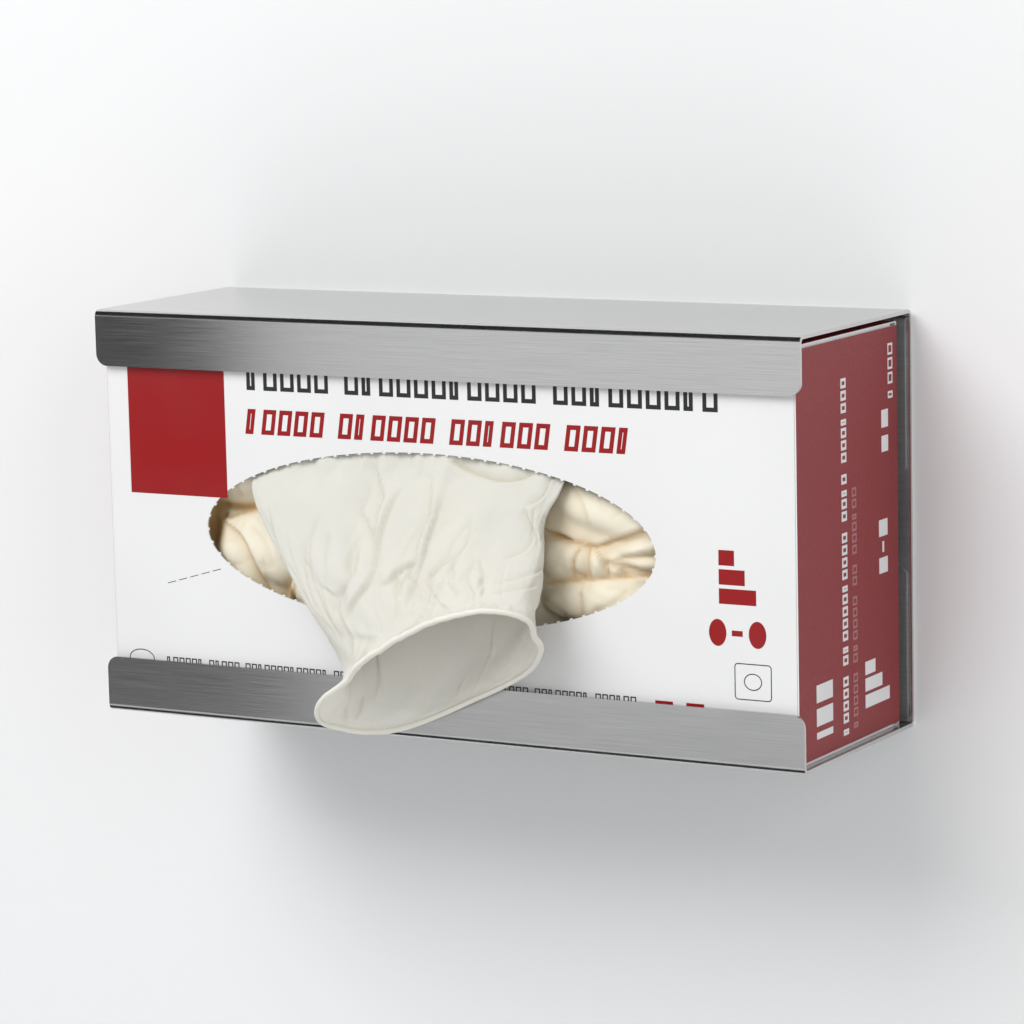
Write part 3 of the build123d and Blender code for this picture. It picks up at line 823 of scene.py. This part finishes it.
PALM_WIDTH, PALM_CORNER = 100.0, 6.0
FINGER_LENGTHS, FINGER_PITCH, FINGER_RADIUS = (62.0, 72.0, 78.0, 70.0), 25.0, 11.5
THUMB_LENGTH, THUMB_TURN = 58.0, math.radians(12.0)


def capsule(places, start, end, radius):
    """Distance outside a capsule, negative inside."""
    start, end = np.array(start), np.array(end)
    way = end - start
    u = np.clip((places - start) @ way / (way @ way), 0, 1)
    return np.linalg.norm(places - start - np.outer(u, way), axis=1) - radius


def rounded_box(places, centre, half, radius):
    """Distance outside a rounded rectangle, negative inside."""
    q = np.abs(places - np.array(centre)) - np.array(half) + radius
    return np.linalg.norm(np.maximum(q, 0), axis=1) + np.minimum(q.max(axis=1), 0) - radius


def glove_distance(places, body, thumb_side):
    """Distance outside a flat glove's outline, cuff at the first axis's 0 and fingers along it."""
    distance = rounded_box(places, (body / 2, 0), (body / 2, PALM_WIDTH / 2), PALM_CORNER)
    root = body - 2 * FINGER_RADIUS
    for i, length in enumerate(FINGER_LENGTHS):
        across = -thumb_side * FINGER_PITCH * (i - 1.5)
        tip = root + length + FINGER_RADIUS
        finger = capsule(places, (root + FINGER_RADIUS, across), (tip, across), FINGER_RADIUS)
        distance = np.minimum(distance, finger)
    way = np.array([math.cos(THUMB_TURN), -thumb_side * math.sin(THUMB_TURN)])
    foot = np.array([max(body - THUMB_LENGTH, 0), -thumb_side * (PALM_WIDTH / 2 - FINGER_RADIUS)])
    ends = foot + way * FINGER_RADIUS, foot + way * (THUMB_LENGTH - FINGER_RADIUS)
    return np.minimum(distance, capsule(places, *ends, FINGER_RADIUS))


def flat_glove(name, low, high, pitch, outside, surface, back):
    """A sheet over a region of the x-z plane: surface gives its front's y and its tint and painted shade at
    each place.
    """
    us = np.arange(low[0], high[0] + pitch, pitch)
    vs = np.arange(low[1], high[1] + pitch, pitch)
    places = np.array([(u, v) for v in vs for u in us])
    distance = outside(places)
    step = 0.05
    slope = np.stack([outside(places + aside) - distance for aside in ((step, 0), (0, step))], axis=1) / step
    kept = (distance < 0.5 * pitch).reshape(len(vs), len(us))
    cells = kept[:-1, :-1] & kept[1:, :-1] & kept[:-1, 1:] & kept[1:, 1:]
    edge = distance > -0.5 * pitch
    places = places - slope * np.where(edge, distance, 0)[:, None]
    rows, columns = np.nonzero(cells)
    first = rows * len(us) + columns
    quads = np.stack([first, first + 1, first + len(us) + 1, first + len(us)], axis=1)
    used = np.unique(quads)
    number = np.full(len(places), -1)
    number[used] = np.arange(len(used))
    quads, places, edge = number[quads], places[used], edge[used]
    count = len(places)
    sides = {side for quad in quads.tolist() for side in zip(quad, quad[1:] + quad[:1])}
    faces = [tuple(quad) for quad in quads] + [tuple(count + quad[::-1]) for quad in quads]
    faces += [(b, a, count + a, count + b) for a, b in sorted(sides) if (b, a) not in sides]
    front, painted_shade_and_tint = surface(places)
    front = np.where(edge, np.minimum(front, back - 0.15) + 0.25, front)
    rear = np.where(edge, back - 0.25, back)
    points = np.concatenate([np.stack([places[:, 0], y, places[:, 1]], axis=1) for y in (front, rear)])
    return latex_piece(name, points, faces, LATEX_PACK, np.concatenate([painted_shade_and_tint, np.full(count, 0.3)]))


# Bulges as in the solids: centre from the middle of the opening, half sizes, roll, depth behind the front
LEFT_BULGES = ((-70, 16.5, 15, 7.5, 4, 1.9), (-59, -5, 19, 14, -24, 1.5), (-76, -6, 21, 7.5, -56, 1.7),
               (-45, -21, 11, 6, -16, 2.2))
RIGHT_BULGES = ((62, 12, 23, 9.5, -12, 1.6), (75, 2, 13, 3.4, 13, 1.7), (76, -3, 12, 3, -3, 1.9),
                (50, -3, 6.5, 7.5, 8, 2.2), (58, -4, 4.6, 8, -8, 1.8), (64, -5, 4, 6, -16, 2.3),
                (62, -16, 26, 8.5, 4, 1.6), (44, -3, 9, 9, -20, 3.0))
# The slack between them: a low swelling that the bulges stand on
LEFT_SWELLING = (-74, 0, 33, 30, 0, 4.2)
RIGHT_SWELLING = (66, 0, 36, 30, 0, 4.0)

# Folds of each glove in x and z: depth (positive where its left side is on top), sharpness, reach, painted
# shade
LEFT_FOLDS = (
    (-1.2, 0.4, 2.2, 0.8, ((-86, 1.2), (-81.3, -0.9), (-74.4, 1.1), (-60, 5))),
    (1.5, 0.35, 3.0, 0.7, ((-85.5, 1), (-78.3, -3.4), (-73.5, -7), (-70.4, -13.2), (-66.6, -22.7),
                           (-62.3, -28.6))),
    (2.0, 0.35, 2.2, 1.0, ((-57.1, -10.4), (-55.4, -16.1), (-59, -22.2), (-61.4, -27.2))),
    (-1.6, 0.35, 1.8, 1.0, ((-55.4, -16.1), (-56.7, -22), (-58.4, -28))),
    (-1.2, 0.35, 2.0, 0.6, ((-57.5, -26.8), (-51, -26.2), (-44, -26.5))),
    (0.7, 0.5, 3.0, 0.3, ((-80, 20), (-76, 13), (-75, 6))),
    (0.5, 0.4, 2.0, 0.25, ((-70, -2), (-64, -8), (-62, -16))),
)
LEFT_VALLEYS = ((2.8, 1.3, 1.0, ((-90, 3.0), (-81.1, 3.3), (-72.4, 3.1), (-58, 6.8))),)
LEFT_HOLLOWS = (((-83, 0), (1.8, 1.2), 0, 1.6, 1.0), ((-87.5, -3), (5, 9), 0, 5.5, 1.0),
                ((-70, 24), (24, 7), 8, 1.6, 0.5), ((-57.8, -24), (1.4, 4), 10, 1.6, 1.0))
RIGHT_FOLDS = (
    (2.0, 0.35, 2.4, 0.9, ((31, 3.6), (35.8, 1.3), (39.3, 0.3), (45.2, -0.6), (52, -1.6), (59, 0.8),
                           (69.3, 4.5), (80, 8))),
    (1.1, 0.35, 2.0, 0.6, ((54.5, -6.3), (56.4, -6.1), (63, -4.1), (69.1, -2.8), (78, -1.2))),
    (1.0, 0.35, 2.2, 0.6, ((54.5, -6.2), (56.4, -6.1), (62.9, -6.9), (69, -8), (78, -9.8))),
    (-1.3, 0.3, 1.6, 0.8, ((44.5, -0.9), (50.3, -1.5), (54.4, -5), (56, -8.5), (56.6, -12))),
    (-0.8, 0.3, 1.4, 0.7, ((57.8, -7.5), (61.2, -8.8), (62.5, -12))),
    (-1.9, 0.4, 2.6, 0.8, ((28, -16), (34.4, -15.2), (43.1, -13.7), (55.3, -12), (72.4, -9.9), (80, -8.5))),
    (0.7, 0.4, 2.2, 0.3, ((44, 18), (50, 11), (52, 4))),
    (-0.6, 0.5, 2.6, 0.25, ((60, 14), (68, 11), (75, 9))),
)
RIGHT_VALLEYS = (
    (0.7, 0.7, 0.7, ((47.6, -2.3), (45.7, -6.1), (45.3, -9.8), (49.1, -12.1))),
    (0.7, 0.6, 0.7, ((50.3, -2.1), (50.5, -7.3), (50.5, -11.8))),
    (0.6, 0.6, 0.6, ((45.4, -6.1), (44.6, -9.5), (44.2, -13))),
    (0.9, 1.0, 0.5, ((32.5, -19.9), (38.4, -22), (42.2, -24.7))),
    (0.8, 0.9, 0.5, ((47.2, -15.9), (48.2, -18.9), (48.1, -24.6))),
    (0.5, 0.9, 0.3, ((64, -14), (60, -18), (52, -22))),
)
RIGHT_HOLLOWS = (((39.5, 0.3), (4.2, 0.9), -14, 2.6, 1.0), ((80, -2), (3.5, 14), 0, 2.6, 0.5),
                 ((62, 24), (24, 6), -14, 1.3, 0.45))

BEHIND_CARD = FRONT_Y / MM + 0.85
SOFT = 0.55              # how softly one bulge joins the next
DRAWN_ENDS = (0.12, 0.12)
CUFF_X, PALM_LENGTH = 115.0, 72.0


def crumpled_glove(name, node, side, depth, bulges, swelling, folds, valleys, hollows, seed):
    """A flat glove whose palm bulges in folds in the opening."""
    base = depth + 1.0
    oval = OVAL_CENTRE[[0, 2]]

    def surface(places):
        heights = [np.full(len(places), 1.0)]
        for x, z, half_x, half_z, roll, behind in (swelling, *bulges):
            away = turned_radius(places, oval + (x, z), (half_x, half_z), roll)
            crown = base - (FRONT_Y / MM + behind)
            heights.append(crown * np.maximum(1 - away**2.4, 0) ** 0.5)
        relief = Relief(places)
        relief.height = SOFT * (np.log(sum(np.exp(h / SOFT) for h in heights)) - math.log(len(heights)) * 0.5)
        shown = np.exp(-turned_radius(places, oval + (side * 66, 0), (34, 34), 0) ** 6)
        plain = relief.height.copy()
        for fold_depth, sharp, reach, warm, points in folds:
            relief.over(points, fold_depth, sharp, reach, warm, DRAWN_ENDS)
        for fold_depth, reach, warm, points in valleys:
            relief.valley(points, fold_depth, reach, warm, DRAWN_ENDS)
        for centre, radii, roll, fold_depth, warm in hollows:
            relief.hollow(centre, radii, roll, fold_depth, warm)
        relief.ripples(13.0, 0.22, seed)
        relief.ripples(4.5, 0.05, seed + 1)
        rng = np.random.default_rng(seed)
        for _ in range(26):
            start = np.array([oval[0] + side * rng.uniform(42, 84), rng.uniform(-26, 20)])
            turn, length = rng.uniform(-0.6, 0.6) + (0 if rng.random() < 0.7 else 1.5), rng.uniform(5, 15)
            way = length * np.array([math.cos(turn), math.sin(turn)])
            line = (start, start + way / 2 + rng.uniform(-1, 1, 2), start + way)
            relief.over(line, rng.uniform(0.12, 0.4) * rng.choice((-1, 1)), 0.35, rng.uniform(1.0, 2.0), 0.2)
        height = np.maximum(plain + (relief.height - plain) * shown, 0.6)
        front = base - height
        # Painted shade: the deeper the sheet lies behind the card, the more of the darker warm colour it
        # gets.
        deep = np.clip((front - BEHIND_CARD - 1.0) / 7.0, 0, 1)
        front = BEHIND_CARD + np.logaddexp(0, (front - BEHIND_CARD) / 0.35) * 0.35
        return front, np.clip(relief.painted_shade_and_tint * shown + 0.5 * deep * shown, 0, 1)

    def outside(places):
        across = np.stack([CUFF_X - side * places[:, 0], places[:, 1] + 8.0], axis=1)
        distance = glove_distance(across, PALM_LENGTH, -1)
        for x, z, half_x, half_z, roll, _ in (swelling, *bulges):
            away = turned_radius(places, oval + (x, z), (half_x, half_z), roll)
            distance = np.minimum(distance, (away - 1) * min(half_x, half_z))
        return distance

    low_x, high_x = sorted((side * (CUFF_X + 1), side * (CUFF_X - 152)))
    piece = flat_glove(name, (low_x, -66), (high_x, 58), 0.8, outside, surface, base)
    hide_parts(node)


def hidden_hand():
    """The pulled glove's palm, hooked over behind the front panel, and its fingers hanging down."""
    top, middle_x, palm, depth = 56.0, -9.0, 38.0, -66.9

    def outside(places):
        return glove_distance(np.stack([top - places[:, 1], places[:, 0] - middle_x], axis=1), palm, 1)

    def surface(places):
        relief = Relief(places)
        relief.ripples(16.0, 0.08, 31)
        return depth + 0.1 - relief.height, np.full(len(places), 0.25)

    piece = flat_glove("glove_pulled_hand", (-78, -62), (62, 57), 1.2, outside, surface, depth + 1.0)
    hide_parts("glove_pulled")
    profile = [(-73.8, 33.5), (-73.8, 40.0), (-73.8, 46.0)]
    profile += [(-70.0 - 3.8 * math.cos(a), 51.0 + 4.5 * math.sin(a)) for a in np.linspace(0, math.pi, 8)]
    profile += [(-66.2, 47.0), (-66.2, 44.0), (-66.2, 41.0)]
    xs = np.linspace(-44.0, 44.0, 45)
    points = np.array([(middle_x + x, y, z + 0.4 * math.sin(x / 5.0) * (z > 48))
                       for y, z in profile for x in xs])
    faces = grid_faces(len(profile), len(xs))
    piece = mesh_object("glove_pulled_hook", points * MM, faces, LATEX_PACK, ROOT)
    film = piece.modifiers.new("film", "SOLIDIFY")
    film.thickness = 0.8 * MM
    film.offset = 0.0
    mesh = bpy.data.meshes.new_from_object(piece.evaluated_get(bpy.context.evaluated_depsgraph_get()))
    piece.modifiers.clear()
    piece.data = mesh
    add_painted_shade_and_tint(piece, np.full(len(piece.data.vertices), 0.25))


# -------- the rest of the pack

PACK_CORNERS = ((0, 0), (0, 0.84), (0.68, 1), (1, 0.71), (1, 0.19), (0.83, 0))
PACK_LENGTH, PACK_HEIGHT, PACK_FOOT = 228.0, 116.0, -63.8
PACK_PITCH, PACK_THICKNESS, PACK_FRONT, IN_STACK = 0.696, 0.506, -65.4, 27
PACK_ROUNDING = 0.12


def pack(name, node, first):
    """A stack of gloves pressed flat, each with its own wavy edge, its cuff left and right by turns."""
    rng = np.random.default_rng(first + 40)
    vertices, faces = [], []
    for index in range(first, first + IN_STACK):
        left = 3.0 * math.sin(2.4 * index) - PACK_LENGTH / 2
        corners = np.array([(left + x * PACK_LENGTH, PACK_FOOT + z * PACK_HEIGHT) for x, z in PACK_CORNERS])
        if index % 2 == 0:
            corners[:, 0] *= -1
        outline = np.concatenate([a + (b - a) * np.linspace(0, 1, 16, endpoint=False)[:, None]
                                  for a, b in zip(corners, np.roll(corners, -1, axis=0))])
        middle = outline.mean(axis=0)
        count = len(outline)
        turns = np.arange(count) * 2 * math.pi / count
        waves = sum(np.sin(turns * k + rng.uniform(0, 6.3)) for k in (7, 11, 16))
        inner = outline + (middle - outline) * (0.008 + 0.005 * (1 + waves / 3))[:, None]
        back = PACK_FRONT + (index + 1) * PACK_PITCH
        front = back - PACK_THICKNESS
        rings = ((0.5, back), (0.985, back), (1.0, back - PACK_ROUNDING), (1.0, front + PACK_ROUNDING),
                 (0.985, front), (0.5, front))
        begun = len(vertices)
        for share, y in rings:
            vertices += [(x, y, z) for x, z in middle + (inner - middle) * share]
        faces += [tuple(begun + k for k in face) for face in grid_faces(len(rings), count, closed=True)]
        faces.append(tuple(begun + j for j in range(count))[::-1])
        faces.append(tuple(begun + (len(rings) - 1) * count + j for j in range(count)))
    piece = latex_piece(name, np.array(vertices), faces, LATEX_PACK, np.full(len(vertices), 0.3))
    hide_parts(node)


pulled_glove()
hidden_hand()
crumpled_glove("glove_next_left_skin", "glove_next_left", -1, -69.9, LEFT_BULGES, LEFT_SWELLING,
               LEFT_FOLDS, LEFT_VALLEYS, LEFT_HOLLOWS, 3)
crumpled_glove("glove_next_right_skin", "glove_next_right", 1, -68.4, RIGHT_BULGES, RIGHT_SWELLING,
               RIGHT_FOLDS, RIGHT_VALLEYS, RIGHT_HOLLOWS, 8)
for stack, pack_name in enumerate(("glove_pack_front", "glove_pack_middle", "glove_pack_rear")):
    pack(f"{pack_name}_sheets", pack_name, stack * IN_STACK)


# -------- camera, light and stage

PALE = (0.86, 0.865, 0.87)
WALL_Y, FLOOR_Z, WALL_TOP, WALL_SIDE, FLOOR_NEAR = 0.0006, -0.85, 2.5, 3.0, -4.0
OPENING_SIDE, OPENING_TOP = 0.1248, 0.0653     # the wall's opening, a little smaller than the holder
YAW, PITCH, ROLL = (math.radians(angle) for angle in (29.56, 8.66, -1.29))
EYE = (0.63238, -1.14667, 0.195)


def camera():
    """The photograph's point of view."""
    ahead = Vector((-math.sin(YAW) * math.cos(PITCH), math.cos(YAW) * math.cos(PITCH), -math.sin(PITCH)))
    level = Vector((math.cos(YAW), math.sin(YAW), 0.0))
    above = level.cross(ahead)
    right = math.cos(ROLL) * level + math.sin(ROLL) * above
    up = math.cos(ROLL) * above - math.sin(ROLL) * level
    data = bpy.data.cameras.new("camera")
    data.sensor_width = 36.0
    data.lens = 143.0
    data.clip_start = 0.05
    data.clip_end = 50.0
    eye = in_scene("camera", data)
    eye.matrix_world = Matrix.Translation(EYE) @ Matrix((right, up, -ahead)).transposed().to_4x4()
    bpy.context.scene.camera = eye


def softbox(name, place, target, size, power):
    """An area light that looks at a point and isn't seen in shiny surfaces."""
    data = bpy.data.lights.new(name, "AREA")
    data.shape = "RECTANGLE"
    data.size, data.size_y = size
    data.energy = power
    lamp = in_scene(name, data)
    lamp.location = place
    lamp.rotation_euler = (Vector(target) - Vector(place)).to_track_quat("-Z", "Y").to_euler()
    lamp.visible_glossy = False


def stage_material(name, colour, specular, kind, output, clear_first):
    """A matt colour, which is clear where a node's output is 1, or where it is 0 with clear_first."""
    nodes = material_nodes(name)
    nodes.shade({"Base Color": (*colour, 1.0), "Roughness": 0.9, "Specular IOR Level": specular})
    shown, clear = nodes.shader.outputs[0], nodes.add("ShaderNodeBsdfTransparent").outputs[0]
    order = (clear, shown) if clear_first else (shown, clear)
    nodes.show("Material Output", nodes.add(kind).outputs[output], *order)
    return nodes.owner


def plaster(name):
    """Pale plaster; seen from behind it isn't there, so that the back of the object shows."""
    return stage_material(name, PALE, 0.1, "ShaderNodeNewGeometry", "Backfacing", False)


def stage_plane(name, corners, material):
    mesh = bpy.data.meshes.new(name)
    mesh.from_pydata(corners, [], [tuple(range(len(corners)))])
    mesh.materials.append(material)
    in_scene(name, mesh)


def reflected_card(name, corners, grey=0.02):
    """A dark card that only a shiny surface sees, as beside a product in a studio."""
    material = stage_material(name, (grey,) * 3, 0.5, "ShaderNodeLightPath", "Is Glossy Ray", True)
    stage_plane(name, corners, material)


def level_corners(low_x, high_x, low_y, high_y, z):
    return [(low_x, low_y, z), (high_x, low_y, z), (high_x, high_y, z), (low_x, high_y, z)]


def upright_corners(low_x, high_x, low_z, high_z, y=-0.9):
    return [(low_x, y, low_z), (high_x, y, low_z), (high_x, y, high_z), (low_x, y, high_z)]


def world(strength):
    """Even studio light; the camera and shiny surfaces see a plain pale background."""
    bpy.context.scene.world = bpy.data.worlds.new("studio")
    nodes = Nodes(bpy.context.scene.world)
    nodes.tree.nodes.clear()
    nodes.add("ShaderNodeOutputWorld", name="out")
    light = nodes.add("ShaderNodeBackground", {"Color": (1.0, 1.0, 1.0, 1.0), "Strength": strength})
    pale = nodes.add("ShaderNodeBackground", {"Color": (*PALE, 1.0)})
    path = nodes.add("ShaderNodeLightPath")
    shown = nodes.math("MAXIMUM", path.outputs["Is Camera Ray"], path.outputs["Is Glossy Ray"])
    nodes.show("out", shown, light.outputs[0], pale.outputs[0])


def studio():
    reflected_card("dark_card_above", level_corners(-2.2, 1.0, -2.2, -0.03, 0.62))
    reflected_card("dark_card_below", level_corners(-1.6, 0.6, -0.55, -0.03, -0.5))
    reflected_card("dark_card_left", upright_corners(-0.82, -0.61, -0.14, 0.2))
    reflected_card("grey_card_left", upright_corners(-0.82, -0.57, -0.34, -0.14), 0.12)
    wall, floor = plaster("pale_wall"), plaster("pale_floor")
    outer = upright_corners(-WALL_SIDE, WALL_SIDE, FLOOR_Z, WALL_TOP, WALL_Y)
    inner = upright_corners(-OPENING_SIDE, OPENING_SIDE, -OPENING_TOP, OPENING_TOP, WALL_Y)
    for i, corners in enumerate(ring_outline(outer, inner)):
        stage_plane(f"wall_{i}", corners, wall)
    stage_plane("floor", level_corners(-WALL_SIDE, WALL_SIDE, FLOOR_NEAR, WALL_Y, FLOOR_Z), floor)
    world(0.46)
    softbox("key", (-0.55, -1.25, 1.25), (0, 0, -0.05), (1.4, 1.1), 25.5)
    softbox("fill", (1.3, -1.0, 0.35), (0, -0.05, 0), (0.8, 1.2), 4.0)


camera()
studio()
view = bpy.context.scene.view_settings
view.view_transform = "Standard"
